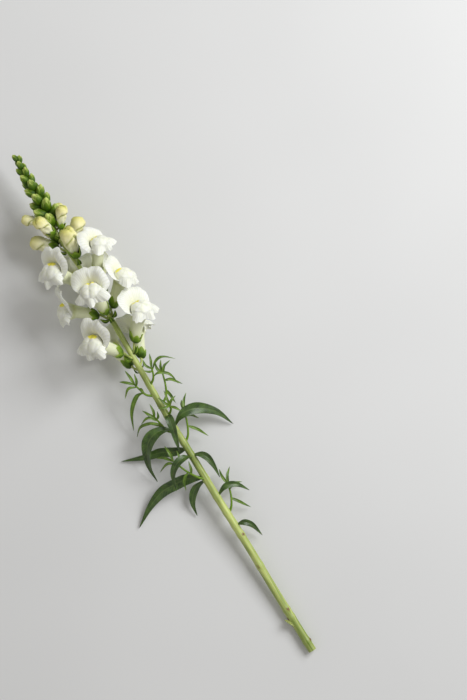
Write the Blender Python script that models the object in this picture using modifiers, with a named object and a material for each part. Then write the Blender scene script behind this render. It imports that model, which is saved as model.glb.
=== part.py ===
# A single white snapdragon stem, cut and laid down on a flat surface.
# Lengths are in millimetres until the last step and the object is built in metres, +Z up.
# +X runs along the stem from the cut end to the bud tip, +Y is to its left.
# The stem rests on the rim of its cut end and on the lips of its lowest florets.

from math import acos, atan2, cos, exp, pi, radians, sin

import bmesh
import bpy
from mathutils import Matrix, Vector

MM = 0.001
UP = Vector((0.0, 0.0, 1.0))
LEFT = Vector((0.0, 1.0, 0.0))
GOLDEN_ANGLE = 137.508

# Middle of the whole object in plan, so that the origin lies under it on the surface.
MIDDLE_X = 261.2
MIDDLE_Y = 16.9

# Stem: distance from the cut end, sideways wander, height of the centre line, radius.
STEM_LINE = (
    (0.0, 0.0, 3.7, 3.75),
    (25.0, 0.5, 4.6, 3.65),
    (62.0, 1.2, 6.8, 3.6),
    (110.0, 1.2, 10.0, 3.55),
    (165.0, 2.4, 14.4, 3.4),
    (215.0, 2.6, 18.2, 3.2),
    (245.0, 3.2, 20.6, 3.05),
    (300.0, 2.2, 26.0, 2.75),
    (350.0, 1.2, 29.8, 2.4),
    (400.0, 1.4, 31.2, 2.1),
    (432.0, 3.6, 31.2, 1.8),
    (475.0, 1.2, 30.2, 1.4),
    (498.0, 1.4, 29.2, 1.1),
    (519.0, -0.4, 28.2, 0.7),
)
STEM_STEPS = 24

# Leaf scars on the stripped part: distance from the cut end, angle round the stem.
SCARS = ((10.0, -70.0), (36.0, 62.0), (44.0, -20.0), (91.0, 25.0), (124.0, -35.0), (150.0, 150.0))

SHEET = 0.7        # petal thickness
LEAF = 0.8         # leaf and bract thickness
GAP = 0.35         # between a piece and the stem that carries it
MERGE = 0.005      # corners of a union closer than this become one
FLAT = 0.2         # degrees between faces that are joined into one

# Open florets: place along the stem, angle round it (0 is up, + to the left), pitch of the tube
# from the stem, run and rise of the flower stalk, twist about the tube, size.
FLORETS = (
    (310.6, 44.5, 48.5, 11.2, 9.0, -25.0, 1.07),
    (314.0, -62.0, 42.0, 11.3, 8.4, -14.0, 1.06),
    (296.9, 139.8, 23.2, 9.8, 6.6, -15.6, 0.95),
    (300.5, -131.8, 27.4, 8.5, 6.2, -0.6, 0.95),
    (349.0, 2.8, 41.0, 11.4, 6.8, -22.0, 1.04),
    (351.5, 82.0, 51.0, 9.4, 7.6, -18.0, 0.96),
    (352.1, -76.8, 49.5, 9.2, 5.8, 2.1, 0.98),
    (374.9, 147.8, 27.5, 8.5, 8.3, -1.8, 0.90),
    (383.7, -63.9, 36.3, 9.0, 10.2, -8.1, 0.95),
    (367.8, -149.3, 30.2, 7.2, 8.8, 25.2, 0.88),
    (384.1, 44.4, 42.0, 9.1, 9.8, -28.4, 1.02),
)

# Half-open buds: as the florets.
OPENING_BUDS = (
    (408.0, -26.0, 30.0, 8.0, 7.0, 12.0, 1.05),
    (423.0, 104.0, 40.0, 8.0, 5.0, 6.0, 0.95),
    (415.0, -84.0, 41.0, 8.7, 8.0, -1.8, 0.95),
    (414.0, -143.0, 31.0, 8.0, 6.0, 12.0, 0.90),
    (437.0, 27.5, 41.0, 6.2, 5.4, -8.2, 0.86),
    (430.0, 160.0, 30.0, 6.0, 4.5, 0.0, 0.85),
    (438.0, -55.0, 40.0, 7.0, 5.5, 0.0, 0.76),
    (449.7, 94.3, 54.0, 6.9, 6.3, 17.1, 0.70),
    (445.8, -131.2, 38.8, 6.2, 5.2, 0.4, 0.66),
)

# Closed green buds: how many, from where to where, and their length at each end.
BUD_COUNT = 25
BUD_START = 449.0
BUD_END = 515.0
BUD_LONG = 17.0
BUD_SHORT = 7.5
BUD_GIRTH = 0.29     # half a bud's width as a share of its length

# Floret body: forward place, half-width, half-height, centre height, slant of the ring.
# The last rings swell into the palate that shuts the mouth.
TUBE = (
    (0.7, 0.0, 0.0, -0.3, 0.45),
    (0.8, 3.0, 2.9, -0.4, 0.45),
    (2.8, 4.5, 4.5, -0.3, 0.3),
    (8.0, 5.1, 4.9, 0.0, 0.1),
    (17.0, 6.0, 5.5, -0.1, 0.0),
    (22.5, 7.6, 6.9, -0.8, 0.0),
    (27.0, 9.6, 8.2, -2.2, 0.0),
    (31.5, 9.4, 8.0, -2.4, 0.0),
    (35.0, 6.2, 5.4, -1.6, 0.0),
    (36.4, 0.0, 0.0, -1.2, 0.0),
)

# Calyx cup, outside then inside, and how far each ring reaches forward at the middle of a
# sepal and back between two sepals.
CUP = (
    (-4.0, 0.0, 0.0, 0.0, 0.4),
    (-2.4, 2.5, 2.5, 0.0, 0.4),
    (0.4, 5.7, 5.7, 0.0, 0.35),
    (3.4, 6.4, 6.2, 0.0, 0.3),
    (3.5, 5.6, 5.4, 0.0, 0.3),
    (0.9, 5.0, 5.0, 0.0, 0.35),
    (-0.6, 0.0, 0.0, 0.0, 0.4),
)
CUP_LOBES = (0.0, 0.0, 0.0, 2.7, 2.3, 0.0, 0.0)
SEPAL_COUNT = 5
BRACT_WIDTH = 4.2
BRACT_ROLL = 45.0    # how far a bract at the stem's side is turned to lie flat

# Scar: the rings of a low round swelling.
SCAR = (
    (-0.8, 0.0, 0.0, 0.0, 0.0),
    (0.5, 1.7, 2.2, 0.0, 0.0),
    (1.4, 1.3, 1.7, 0.5, 0.0),
    (1.9, 0.0, 0.0, 0.8, 0.0),
)
SCAR_DEPTH = 0.9
PALATE_START = 26.0
LIP_ROOT = 3.0
PALATE_GROOVE = 0.86

# Half-open bud: the same, up to its blunt end.
BUD_TUBE = (
    (0.5, 0.0, 0.0, 0.0, 0.2),
    (0.6, 2.3, 2.3, 0.0, 0.2),
    (3.2, 3.8, 3.7, 0.0, 0.1),
    (8.0, 4.5, 4.4, 0.0, 0.0),
    (13.5, 6.2, 5.9, 0.0, 0.0),
    (18.5, 7.3, 7.2, 0.1, -0.1),
    (22.5, 6.7, 6.6, -0.2, -0.1),
    (25.0, 4.4, 4.2, -0.9, -0.1),
    (26.0, 0.0, 0.0, -1.4, 0.0),
)

# Leaves of the main stem: place along it, angle round it, then points of the midrib
# (along, left, up), width, roll.
LEAVES = {
    "leaf_1": (187.0, 72.0, ((192.0, 15.5, 15.2), (193.5, 28.5, 13.0), (193.5, 43.0, 9.5),
                             (187.5, 59.0, 5.0), (175.5, 78.0, 1.8)), 11.5, -12.0),
    "leaf_2": (236.5, 62.0, ((241.0, 13.0, 25.0), (241.5, 23.0, 26.0), (235.0, 33.0, 22.0),
                             (220.0, 40.5, 13.0), (203.0, 42.0, 4.0)), 12.0, 20.0),
    "leaf_3": (250.5, 8.0, ((248.0, 2.2, 28.4), (240.0, 3.6, 29.6), (229.0, 6.5, 28.0),
                            (216.5, 10.0, 25.5)), 7.4, 10.0),
    "leaf_4": (207.0, 28.0, ((210.0, 8.5, 26.5), (208.5, 18.0, 28.5), (201.5, 26.0, 25.5),
                             (187.5, 30.5, 19.0)), 7.4, 15.0),
    "leaf_5": (208.0, -62.0, ((205.0, -5.5, 22.2), (199.0, -9.0, 23.0), (190.0, -10.0, 20.5),
                              (178.0, -9.0, 16.5)), 6.4, 0.0),
    "leaf_6": (183.0, 112.0, ((182.0, 13.0, 11.5), (177.0, 20.0, 8.5), (169.0, 25.0, 5.5),
                              (158.0, 27.0, 2.0)), 7.0, 0.0),
    "leaf_7": (216.0, 118.0, ((219.0, 14.5, 12.5), (225.0, 27.0, 8.5), (228.0, 40.0, 5.0),
                              (236.0, 61.0, 1.6)), 8.6, 0.0),
    "leaf_8": (134.0, -66.0, ((132.0, -7.5, 15.0), (125.0, -12.5, 12.5),
                              (113.0, -15.0, 7.0)), 5.6, 0.0),
    "leaf_9": (165.5, -62.0, ((169.0, -9.0, 18.0), (165.0, -19.0, 15.5),
                              (154.0, -26.0, 8.0)), 6.0, 0.0),
    "leaf_10": (240.0, -70.0, ((245.0, -10.0, 22.5), (242.0, -24.0, 19.0), (230.0, -37.0, 10.0),
                               (213.0, -44.0, 2.0)), 10.5, -10.0),
}

# Side shoots: place along the stem, angle round it, the stalk's further points, then each
# small leaf's points and width.
SHOOTS = {
    "side_shoot_1": (
        282.5, -52.0,
        ((285.0, -3.4, 29.2), (289.0, -5.8, 31.2), (294.5, -7.4, 32.6)),
        (
            (((292.0, -6.6, 32.0), (297.6, -13.5, 34.6), (298.0, -21.0, 34.0),
              (290.5, -30.0, 27.0)), 3.2),
            (((286.5, -4.4, 30.0), (287.5, -10.5, 32.0), (281.0, -18.5, 29.5),
              (269.5, -20.5, 22.0)), 3.5),
            (((293.5, -7.0, 32.4), (299.0, -4.0, 34.8), (305.0, -4.4, 33.8)), 2.8),
            (((291.5, -6.4, 31.8), (292.5, -3.5, 35.4), (296.0, 0.2, 37.4)), 2.6),
            (((294.0, -7.2, 32.4), (300.5, -10.2, 33.4), (306.5, -12.2, 31.5)), 2.8),
        ),
    ),
    "side_shoot_2": (
        272.5, 78.0,
        ((276.0, 9.4, 25.4), (282.0, 11.6, 27.2), (291.0, 14.0, 29.0)),
        (
            (((279.0, 10.4, 26.2), (279.0, 18.0, 27.0), (269.0, 29.0, 19.0),
              (253.5, 36.8, 7.0)), 5.0),
            (((286.5, 12.8, 28.2), (288.8, 20.5, 29.6), (282.5, 27.8, 25.0)), 3.2),
            (((287.0, 13.0, 28.4), (291.5, 10.2, 31.4), (298.0, 8.6, 32.4)), 3.0),
            (((289.5, 13.6, 28.8), (297.0, 13.6, 31.0), (304.5, 14.6, 28.6)), 3.4),
            (((284.0, 12.2, 27.8), (282.0, 10.4, 31.0), (277.5, 9.8, 33.0)), 2.8),
            (((289.0, 13.5, 28.6), (295.0, 19.5, 29.6), (298.5, 24.5, 25.0)), 3.0),
        ),
    ),
    "side_shoot_3": (
        250.0, -48.0,
        ((253.5, -3.0, 26.2), (256.5, -3.6, 28.4), (258.0, -3.8, 30.0)),
        (
            (((256.5, -3.6, 28.6), (262.0, -1.0, 31.6), (268.5, 1.4, 31.8)), 3.0),
            (((256.5, -3.6, 28.6), (260.5, -7.6, 31.0), (262.0, -13.0, 29.0)), 3.0),
            (((257.0, -3.7, 29.2), (257.5, 0.8, 32.8), (260.0, 6.5, 33.2)), 2.8),
            (((256.5, -3.6, 28.8), (252.5, -7.5, 31.8), (247.0, -10.5, 30.5)), 3.0),
            (((256.8, -3.7, 29.2), (264.5, -5.2, 31.0), (271.5, -6.4, 30.0)), 2.8),
        ),
    ),
    "side_shoot_4": (
        234.5, 96.0,
        ((238.5, 10.0, 19.4), (246.0, 11.6, 21.6), (256.0, 13.6, 24.4)),
        (
            (((253.5, 13.2, 23.8), (259.5, 16.5, 26.0), (266.0, 20.0, 23.6)), 3.3),
            (((251.0, 12.8, 23.0), (257.5, 19.0, 25.4), (255.5, 27.5, 21.0)), 3.2),
            (((247.0, 12.0, 21.8), (252.5, 20.5, 22.5), (253.5, 29.5, 16.0),
              (247.5, 37.0, 6.0)), 3.6),
            (((254.5, 13.4, 24.0), (260.5, 11.4, 27.0), (267.5, 11.0, 26.0)), 3.0),
            (((243.5, 11.0, 20.8), (247.5, 14.8, 17.0), (251.0, 20.5, 10.0)), 3.0),
            (((252.0, 13.0, 23.4), (254.0, 10.0, 27.4), (258.5, 8.4, 29.4)), 2.8),
        ),
    ),
    "side_shoot_5": (
        184.5, 40.0,
        ((190.0, 8.8, 20.4), (200.0, 14.5, 21.6), (215.0, 20.0, 22.6)),
        (
            (((212.5, 19.2, 22.6), (220.5, 18.6, 24.6), (228.5, 19.0, 22.0)), 3.2),
            (((207.5, 17.4, 22.2), (213.0, 25.0, 23.0), (209.5, 35.5, 14.0)), 3.2),
            (((206.0, 17.0, 22.2), (212.0, 13.0, 23.5), (219.5, 11.8, 23.8)), 3.0),
            (((197.0, 13.2, 21.4), (193.0, 19.5, 20.5), (183.5, 23.5, 15.0)), 3.4),
            (((212.0, 19.2, 22.4), (219.0, 25.0, 20.5), (222.5, 32.0, 14.0)), 3.2),
            (((194.0, 11.2, 21.0), (199.0, 9.0, 23.4), (205.5, 7.6, 23.0)), 3.0),
        ),
    ),
    "side_shoot_6": (
        262.0, -100.0,
        ((266.5, -5.6, 21.0), (275.0, -10.0, 21.8), (286.0, -13.4, 22.6)),
        (
            (((283.5, -12.6, 22.4), (290.0, -17.5, 23.5), (292.0, -25.0, 19.0)), 3.2),
            (((279.0, -11.4, 22.0), (276.5, -17.0, 19.5), (267.5, -23.5, 10.0)), 3.4),
            (((284.5, -13.0, 22.5), (291.5, -11.0, 23.6), (298.5, -12.6, 21.0)), 3.2),
            (((271.0, -8.2, 21.4), (264.0, -9.0, 16.0), (256.0, -9.0, 8.0)), 3.4),
            (((283.0, -12.6, 22.4), (291.0, -14.4, 20.0), (297.0, -18.0, 14.0)), 3.0),
        ),
    ),
    "side_shoot_7": (
        222.0, -96.0,
        ((226.5, -4.6, 18.6), (236.0, -9.2, 18.4), (249.0, -13.0, 18.6)),
        (
            (((246.0, -12.2, 18.5), (253.5, -16.0, 16.5), (259.5, -22.0, 10.0)), 3.2),
            (((233.0, -8.0, 18.4), (226.0, -14.0, 16.5), (215.0, -19.5, 9.0)), 3.4),
            (((241.5, -11.0, 18.4), (240.0, -15.5, 12.0), (233.5, -20.0, 5.0)), 3.2),
            (((246.5, -12.4, 18.5), (252.0, -13.0, 13.5), (256.0, -15.0, 7.0)), 3.0),
        ),
    ),
    "side_shoot_8": (
        147.0, -92.0,
        ((151.5, -5.2, 13.4), (160.0, -9.6, 13.2), (171.0, -12.6, 13.6)),
        (
            (((168.5, -12.0, 13.5), (176.0, -15.5, 14.0), (182.0, -21.5, 9.0)), 3.3),
            (((157.0, -8.2, 13.2), (150.0, -13.0, 11.0), (140.0, -19.0, 4.0)), 3.4),
            (((169.0, -12.1, 13.5), (177.5, -11.0, 12.5), (185.0, -12.0, 8.0)), 3.3),
            (((164.5, -11.0, 13.2), (167.0, -17.0, 9.5), (164.0, -24.0, 3.0)), 3.2),
        ),
    ),
}

COLOURS = {
    "stem": (0.36, 0.45, 0.13, 0.5),
    "shoot": (0.20, 0.34, 0.08, 0.5),
    "leaf": (0.12, 0.22, 0.07, 0.45),
    "petal": (0.86, 0.86, 0.80, 0.55),
    "bud": (0.66, 0.68, 0.36, 0.5),
}


def colour(name, kind):
    """The material of one piece, coloured after its kind."""
    red, green, blue, roughness = COLOURS[kind]
    material = bpy.data.materials.new(name)
    material.use_nodes = True
    shader = material.node_tree.nodes["Principled BSDF"]
    shader.inputs["Base Color"].default_value = (red, green, blue, 1.0)
    shader.inputs["Roughness"].default_value = roughness
    shader.inputs["Metallic"].default_value = 0.0
    return material


def smooth_path(points, steps):
    """Steps + 1 points on one smooth curve through the given points."""
    knots = [Vector(point) for point in points]
    knots = [2 * knots[0] - knots[1]] + knots + [2 * knots[-1] - knots[-2]]
    spans = len(points) - 1
    line = []
    for step in range(steps + 1):
        place = step / steps * spans
        span = min(int(place), spans - 1)
        t = place - span
        a, b, c, d = knots[span:span + 4]
        line.append(0.5 * (2 * b + (c - a) * t + (2 * a - 5 * b + 4 * c - d) * t * t
                           + (3 * b - a - 3 * c + d) * t * t * t))
    return line


STEM_FINE = smooth_path([row[:3] for row in STEM_LINE], 260)


def stem_at(s):
    """Point on the stem's centre line, its direction, and up and left across it."""
    k = 1
    while k < len(STEM_FINE) - 2 and STEM_FINE[k].x < s:
        k += 1
    before, after = STEM_FINE[k - 1], STEM_FINE[k]
    point = before.lerp(after, (s - before.x) / (after.x - before.x))
    along = (STEM_FINE[k + 1] - STEM_FINE[max(k - 2, 0)]).normalized()
    left = (LEFT - along * LEFT.dot(along)).normalized()
    return point, along, along.cross(left), left


def stem_radius(s):
    """Radius of the stem at a distance from the cut end."""
    for low, high in zip(STEM_LINE, STEM_LINE[1:]):
        if s <= high[0]:
            share = (s - low[0]) / (high[0] - low[0])
            return low[3] + (high[3] - low[3]) * share
    return STEM_LINE[-1][3]


def outward(s, angle):
    """Direction straight out of the stem at an angle round it."""
    _, _, up, left = stem_at(s)
    return up * cos(radians(angle)) + left * sin(radians(angle))


def evaluated(obj):
    """A new mesh holding the object as its modifiers leave it."""
    graph = bpy.context.evaluated_depsgraph_get()
    return bpy.data.meshes.new_from_object(obj.evaluated_get(graph))


def scrap(obj):
    """Removes a working object and the data that only it used."""
    data = obj.data
    bpy.data.objects.remove(obj)
    if data.users == 0:
        if isinstance(data, bpy.types.Curve):
            bpy.data.curves.remove(data)
        else:
            bpy.data.meshes.remove(data)


def closed(mesh):
    """The mesh with its seams welded and its faces turned outwards."""
    bm = bmesh.new()
    bm.from_mesh(mesh)
    bmesh.ops.remove_doubles(bm, verts=bm.verts, dist=0.001)
    if bm.calc_volume(signed=True) < 0.0:
        bmesh.ops.reverse_faces(bm, faces=bm.faces)
    bmesh.ops.triangulate(bm, faces=bm.faces)
    bm.to_mesh(mesh)
    bm.free()
    return mesh


def tidied(mesh):
    """The mesh of a union without its slivers and needless edges."""
    bm = bmesh.new()
    bm.from_mesh(mesh)
    bmesh.ops.remove_doubles(bm, verts=bm.verts, dist=MERGE)
    bmesh.ops.dissolve_limit(bm, angle_limit=radians(FLAT), verts=bm.verts, edges=bm.edges)
    bmesh.ops.triangulate(bm, faces=bm.faces)
    drop_scraps(bm)
    bm.to_mesh(mesh)
    bm.free()
    return mesh


def drop_scraps(bm):
    """Removes the small loose bodies that a union can leave beside the main one."""
    bodies = []
    left = set(bm.faces)
    while left:
        body = [left.pop()]
        for face in body:
            for edge in face.edges:
                for other in edge.link_faces:
                    if other in left:
                        left.remove(other)
                        body.append(other)
        bodies.append(body)
    bodies.sort(key=len)
    for body in bodies[:-1]:
        bmesh.ops.delete(bm, geom=body, context="FACES")


def rod(points, radii, resolution):
    """Round tapering rod along a path, with closed ends."""
    curve = bpy.data.curves.new("rod", "CURVE")
    curve.dimensions = "3D"
    curve.bevel_depth = 1.0
    curve.bevel_resolution = resolution
    curve.use_fill_caps = True
    spline = curve.splines.new("POLY")
    spline.points.add(len(points) - 1)
    for knot, point, radius in zip(spline.points, points, radii):
        knot.co = (*point, 1.0)
        knot.radius = radius
    obj = bpy.data.objects.new("rod", curve)
    WORK.objects.link(obj)
    mesh = evaluated(obj)
    scrap(obj)
    return closed(mesh)


def sheet(columns, rows, place, thickness):
    """Closed thin sheet: place gives a point for across -1 to 1 and along 0 to 1."""
    bm = bmesh.new()
    bmesh.ops.create_grid(bm, x_segments=columns, y_segments=rows, size=0.5)
    for vert in bm.verts:
        vert.co = place(2 * vert.co.x, vert.co.y + 0.5)
    bmesh.ops.remove_doubles(bm, verts=bm.verts, dist=0.01)
    bmesh.ops.triangulate(bm, faces=bm.faces)
    mesh = bpy.data.meshes.new("sheet")
    bm.to_mesh(mesh)
    bm.free()
    obj = bpy.data.objects.new("sheet", mesh)
    WORK.objects.link(obj)
    wall = obj.modifiers.new("wall", "SOLIDIFY")
    wall.thickness = thickness
    wall.offset = 0.0
    solid = evaluated(obj)
    scrap(obj)
    return closed(solid)


def blade(path, width, thickness, columns, rows, roll=0.0, fold=0.3, foot=0.24, side=None):
    """Leaf blade along a midrib path: narrow foot, broad middle, pointed tip, folded midrib."""
    line = smooth_path(path, rows)
    chord = (line[-1] - line[0]).normalized()
    if side is None:
        side = chord.cross(UP).normalized()
    side = Matrix.Rotation(radians(roll), 3, chord) @ side

    def place(across, along):
        step = round(along * rows)
        ahead = line[min(step + 1, rows)] - line[max(step - 1, 0)]
        normal = side.cross(ahead).normalized()
        swell = sin(pi * min(1.0, 0.06 + 0.94 * along ** 0.8)) ** 0.85
        taper = max(swell, foot * (1 - 2.5 * along))
        half = 0.5 * width * taper if step < rows else 0.0
        return line[step] + side * (across * half) + normal * (fold * abs(across) * half)

    return sheet(columns, rows, place, thickness)


def turned(profile, segments, frame, lobes=None):
    """Closed round body through rings given as in TUBE, set into a frame."""
    rings = len(profile) - 1
    bm = bmesh.new()
    bmesh.ops.create_uvsphere(bm, u_segments=segments, v_segments=rings, radius=1.0)
    for vert in bm.verts:
        ring = round(acos(max(-1.0, min(1.0, -vert.co.z))) / pi * rings)
        forward, wide, high, centre, slant = profile[ring]
        turn = atan2(vert.co.y, vert.co.x)
        if lobes:
            turn += pi / segments
            forward += lobes[ring] * cos(SEPAL_COUNT * (turn - 0.5 * pi))
        u = wide * cos(turn)
        v = centre + high * sin(turn)
        vert.co = frame @ Vector((u, v, forward + slant * v))
    mesh = bpy.data.meshes.new("turned")
    bm.to_mesh(mesh)
    bm.free()
    return closed(mesh)


def fused(name, meshes, kind, home):
    """One named object from the union of closed meshes, in metres about the part's origin."""
    host = bpy.data.objects.new(name, meshes[0])
    WORK.objects.link(host)
    others = bpy.data.collections.new("others")
    bpy.context.scene.collection.children.link(others)
    if len(meshes) > 1:
        for mesh in meshes[1:]:
            others.objects.link(bpy.data.objects.new("other", mesh))
        union = host.modifiers.new("union", "BOOLEAN")
        union.operation = "UNION"
        union.operand_type = "COLLECTION"
        union.collection = others
        union.solver = "MANIFOLD"
    floor = None
    if min(vert.co.z for mesh in meshes for vert in mesh.vertices) < 0.0:
        floor = ground()
        cut = host.modifiers.new("cut", "BOOLEAN")
        cut.operation = "DIFFERENCE"
        cut.object = floor
        cut.solver = "MANIFOLD"
    whole = evaluated(host)
    host.modifiers.clear()
    host.data = tidied(whole)
    for other in list(others.objects):
        scrap(other)
    bpy.data.collections.remove(others)
    if floor:
        scrap(floor)
    host.data.transform(Matrix.Scale(MM, 4) @ Matrix.Translation((-MIDDLE_X, -MIDDLE_Y, 0.0)))
    host.data.materials.clear()
    host.data.materials.append(colour(name, kind))
    host.data.shade_smooth()
    host.data.set_sharp_from_angle(angle=radians(40))
    WORK.objects.unlink(host)
    home.objects.link(host)
    return host


def ground():
    """Block that cuts flat what reaches below the surface, as a petal pressed on it."""
    bm = bmesh.new()
    bmesh.ops.create_cube(bm, size=1.0)
    bmesh.ops.transform(bm, verts=bm.verts,
                        matrix=Matrix.Translation((300.0, 0.0, -20.0)) @ Matrix.Diagonal(
                            (800.0, 300.0, 40.0, 1.0)))
    mesh = bpy.data.meshes.new("floor")
    bm.to_mesh(mesh)
    bm.free()
    floor = bpy.data.objects.new("floor", mesh)
    WORK.objects.link(floor)
    return floor


def flower_frame(row):
    """Frame at the base of a corolla: X across, Y towards the stem's tip, Z along the tube."""
    s, angle, pitch, run, rise, twist, size = row
    point, along, _, _ = stem_at(s)
    away = outward(s, angle)
    pitch = radians(pitch)
    ahead = along * cos(pitch) + away * sin(pitch)
    back = along * sin(pitch) - away * cos(pitch)
    base = point + along * run + away * (stem_radius(s) + rise)
    turn = Matrix((back.cross(ahead), back, ahead)).transposed()
    turn = turn @ Matrix.Rotation(radians(twist), 3, "Z")
    return Matrix.Translation(base) @ turn.to_4x4() @ Matrix.Scale(size, 4)


def corolla(frame):
    """The pieces of an open floret: tube, palate, upper lip and lower lip."""

    def upper_lip(across, along):
        turn = radians(105 * across)
        degrees = abs(105 * across)
        broad = 0.5 + 0.5 * cos(pi * max(0.0, degrees - 50) / 55)
        lean = 0.5 + 0.5 * cos(pi * max(0.0, degrees - 30) / 75)
        lobe = 10.0 + 7.8 * broad - 1.8 * exp(-(across / 0.09) ** 2)
        reach = LIP_ROOT + (lobe - LIP_ROOT) * along ** 1.2
        forward = 22.0 + (5.0 + 12.5 * lean) * sin(1.45 * along)
        return frame @ Vector((reach * sin(turn), reach * cos(turn), forward))

    def lower_lip(across, along):
        turn = radians(100 * across)
        degrees = abs(100 * across)
        lobe = 10.0 + 7.5 * exp(-((degrees - 60) / 24) ** 2) + 4.5 * exp(-(degrees / 16) ** 2)
        reach = LIP_ROOT + 1.0 + (lobe - LIP_ROOT - 1.0) * along ** 0.6
        forward = 32.0 + 2.5 * along - 9.0 * along * along
        return frame @ Vector((reach * sin(turn), -1.0 - reach * cos(turn), forward))

    body = turned(TUBE, 8, frame)
    local = frame.inverted()
    for vert in body.vertices:
        spot = local @ vert.co
        if abs(spot.x) < 1.5 and spot.z > PALATE_START:
            spot.y *= PALATE_GROOVE
            vert.co = frame @ spot
    return [body, sheet(8, 3, upper_lip, SHEET), sheet(8, 2, lower_lip, SHEET)]


def opening_bud(frame):
    """The body of a half-open bud, whose folded hood makes its round end."""
    return [turned(BUD_TUBE, 10, frame)]


def calyx(row):
    """Flower stalk, bract and five-lobed calyx cup of one flower, all on the green stem."""
    s = row[0]
    frame = flower_frame(row)
    point, along, _, _ = stem_at(s)
    away = outward(s, row[1])
    skin = stem_radius(s)
    seat = frame @ Vector((0.0, 0.0, -2.6))
    bend = frame @ Vector((0.0, 0.0, -5.4))
    start = point + away * (skin - 1.0)
    knee = point + away * (skin + 0.8) + along * 1.6
    stalk = smooth_path((start, knee, bend, seat), 3)
    foot = point + away * (skin - 0.6) - along * 1.2
    belly = point + away * (skin + 0.45 * row[4])
    tip = point + away * (skin + 0.85 * row[4]) + along * (0.4 * row[3])
    across = along.cross(away).normalized()
    roll = BRACT_ROLL * sin(radians(row[1]))
    return [
        rod(stalk, (1.3, 1.1, 1.0, 1.4), 0),
        turned(CUP, 2 * SEPAL_COUNT, frame, CUP_LOBES),
        blade((foot, belly, tip), BRACT_WIDTH, LEAF, 1, 2, roll=roll, side=across),
    ]


def green_bud(index):
    """Closed pointed bud near the tip."""
    share = index / (BUD_COUNT - 1)
    s = BUD_START + (BUD_END - BUD_START) * share
    angle = index * GOLDEN_ANGLE
    length = BUD_LONG + (BUD_SHORT - BUD_LONG) * share
    width = BUD_GIRTH * length
    pitch = radians(50 - 32 * share)
    point, along, _, _ = stem_at(s)
    away = outward(s, angle)
    ahead = along * cos(pitch) + away * sin(pitch)
    back = along * sin(pitch) - away * cos(pitch)
    base = point + away * (0.6 * stem_radius(s))
    frame = (Matrix.Translation(base) @ Matrix((back.cross(ahead), back, ahead)).transposed()
             .to_4x4())
    profile = (
        (-0.4, 0.0, 0.0, 0.0, 0.0),
        (0.36 * length, width, width, 0.0, 0.0),
        (0.74 * length, 0.8 * width, 0.8 * width, 0.0, 0.0),
        (length, 0.0, 0.0, 0.0, 0.0),
    )
    return turned(profile, 6, frame)


def root_of(s, angle, reach):
    """Point just off the stem's skin where a leaf or shoot begins."""
    return stem_at(s)[0] + outward(s, angle) * (stem_radius(s) + GAP + reach)


def leaf(name, home):
    """One leaf of the main stem."""
    s, angle, points, width, roll = LEAVES[name]
    path = (root_of(s, angle, 0.9), *points)
    fused(name, [blade(path, width, LEAF, 2, 8, roll=roll)], "leaf", home)


def side_shoot(name, home):
    """A thin leafy stalk with a tuft of small leaves."""
    s, angle, points, leaves = SHOOTS[name]
    radii = (1.1, 1.1, 1.05, 1.0, 0.95, 0.85, 0.8)
    pieces = [rod(smooth_path((root_of(s, angle, radii[0]), *points), 6), radii, 0)]
    for path, width in leaves:
        pieces.append(blade(path, width, LEAF, 1, 3, foot=0.4))
    fused(name, pieces, "shoot", home)


def stem(home):
    """The green stem with its scars, flower stalks, calyces, bracts and closed buds."""
    line = smooth_path([row[:3] for row in STEM_LINE], STEM_STEPS)
    pieces = [rod(line, [stem_radius(point.x) for point in line], 2)]
    for s, angle in SCARS:
        point, along, _, _ = stem_at(s)
        away = outward(s, angle)
        spot = Matrix.Translation(point + away * (stem_radius(s) - SCAR_DEPTH))
        turn = Matrix((away.cross(along), along, away)).transposed().to_4x4()
        pieces.append(turned(SCAR, 6, spot @ turn))
    for row in FLORETS + OPENING_BUDS:
        pieces += calyx(row)
    for index in range(BUD_COUNT):
        pieces.append(green_bud(index))
    fused("stem", pieces, "stem", home)


def build():
    for obj in list(bpy.data.objects):
        bpy.data.objects.remove(obj)
    home = bpy.data.collections.new("snapdragon_stem")
    bpy.context.scene.collection.children.link(home)
    stem(home)
    for name in SHOOTS:
        side_shoot(name, home)
    for name in LEAVES:
        leaf(name, home)
    for number, row in enumerate(FLORETS, 1):
        fused(f"floret_{number}", corolla(flower_frame(row)), "petal", home)
    for number, row in enumerate(OPENING_BUDS, 1):
        fused(f"opening_bud_{number}", opening_bud(flower_frame(row)), "bud", home)


WORK = bpy.data.collections.new("work")
bpy.context.scene.collection.children.link(WORK)
build()
bpy.data.collections.remove(WORK)
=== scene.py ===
from math import acos, atan2, cos, exp, pi, radians, sin
from random import Random

import bmesh
import bpy
from mathutils import Matrix, Vector


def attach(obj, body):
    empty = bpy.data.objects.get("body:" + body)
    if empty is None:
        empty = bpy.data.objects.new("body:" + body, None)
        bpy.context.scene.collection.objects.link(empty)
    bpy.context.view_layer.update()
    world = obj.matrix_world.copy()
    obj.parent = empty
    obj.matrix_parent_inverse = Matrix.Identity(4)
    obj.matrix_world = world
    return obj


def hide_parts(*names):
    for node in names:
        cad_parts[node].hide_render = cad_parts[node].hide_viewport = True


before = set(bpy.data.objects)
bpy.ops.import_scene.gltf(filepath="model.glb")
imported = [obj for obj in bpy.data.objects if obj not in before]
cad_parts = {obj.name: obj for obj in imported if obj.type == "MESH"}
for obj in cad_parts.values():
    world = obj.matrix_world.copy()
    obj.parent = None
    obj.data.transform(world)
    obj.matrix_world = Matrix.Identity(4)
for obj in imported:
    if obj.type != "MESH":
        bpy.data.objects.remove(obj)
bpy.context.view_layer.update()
scene = bpy.context.scene
print("frame loaded")

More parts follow.
